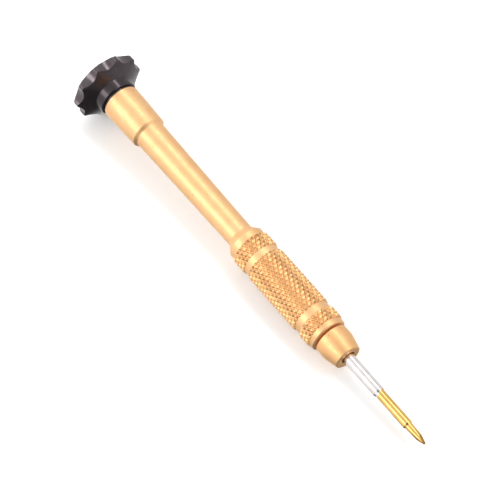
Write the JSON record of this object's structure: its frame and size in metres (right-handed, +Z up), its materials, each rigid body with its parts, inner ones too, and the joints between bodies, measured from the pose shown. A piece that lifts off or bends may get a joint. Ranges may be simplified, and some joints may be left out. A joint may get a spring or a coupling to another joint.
{
  "type": "watchmaker screwdriver",
  "caption": "Slim watchmaker's screwdriver with a free-spinning scalloped cap, a turned and knurled handle, and a cross-point blade held by a collet under a screwed nose.",
  "frame": {"origin": "on the surface that the tool lies on, under the middle of its box", "axes": "+Z up from that surface, +X from the cap to the tip, +Y across the tool; the tool's own axis dips towards the tip, because the cap is wider than the grip"},
  "size_m": [0.1298, 0.0196, 0.0189],
  "materials": {
    "black_anodised": "satin black anodised",
    "gold_anodised": "bead-blasted gold anodised",
    "spring_steel": "bright",
    "bearing_steel": "ground and polished",
    "cage_brass": "machined",
    "black_steel": "black oxide",
    "blade_steel": "polished, nickel plated at the shank and titanium nitride coated towards the tip"
  },
  "bodies": {
    "handle": {"handle": "gold_anodised", "neck_spacer": "black_anodised", "pivot_screw": "black_steel", "bearing_inner_race": "bearing_steel"},
    "cap": {"swivel_cap": "black_anodised", "cap_cover_disc": "black_anodised", "cap_retaining_ring": "spring_steel", "bearing_outer_race": "bearing_steel", "bearing_shield_upper": "spring_steel", "bearing_shield_lower": "spring_steel"},
    "ball_cage": {"bearing_cage": "cage_brass", "bearing_ball_1": "bearing_steel", "bearing_ball_2": "bearing_steel", "bearing_ball_3": "bearing_steel", "bearing_ball_4": "bearing_steel", "bearing_ball_5": "bearing_steel", "bearing_ball_6": "bearing_steel", "bearing_ball_7": "bearing_steel"},
    "collet": {"collet": "spring_steel"},
    "nose": {"nose_nut": "gold_anodised"},
    "blade": {"blade": "blade_steel"}
  },
  "joints": [
    {"name": "cap_swivel", "type": "hinge", "parent": "handle", "child": "cap", "pos_m": [-0.06002, 0, 0.00934], "axis": [0.999, 0, -0.0451], "continuous": true},
    {"name": "cage_roll", "type": "hinge", "parent": "handle", "child": "ball_cage", "pos_m": [-0.06002, 0, 0.00934], "axis": [0.999, 0, -0.0451], "continuous": true},
    {"name": "collet_advance", "type": "slide", "parent": "handle", "child": "collet", "axis": [0.999, 0, -0.0451], "range_m": [0, 0.00075]},
    {"name": "nose_unscrew", "type": "hinge", "parent": "collet", "child": "nose", "pos_m": [0.02959, 0, 0.0053], "axis": [0.999, 0, -0.0451], "range_deg": [0, 540]},
    {"name": "blade_draw", "type": "slide", "parent": "collet", "child": "blade", "axis": [0.999, 0, -0.0451], "range_m": [0, 0.017]}
  ],
  "couplings": [
    {"joint": "cage_roll", "follows": "cap_swivel", "ratio": 0.6418},
    {"joint": "nose_unscrew", "follows": "collet_advance", "rad_per_m": 12566}
  ]
}
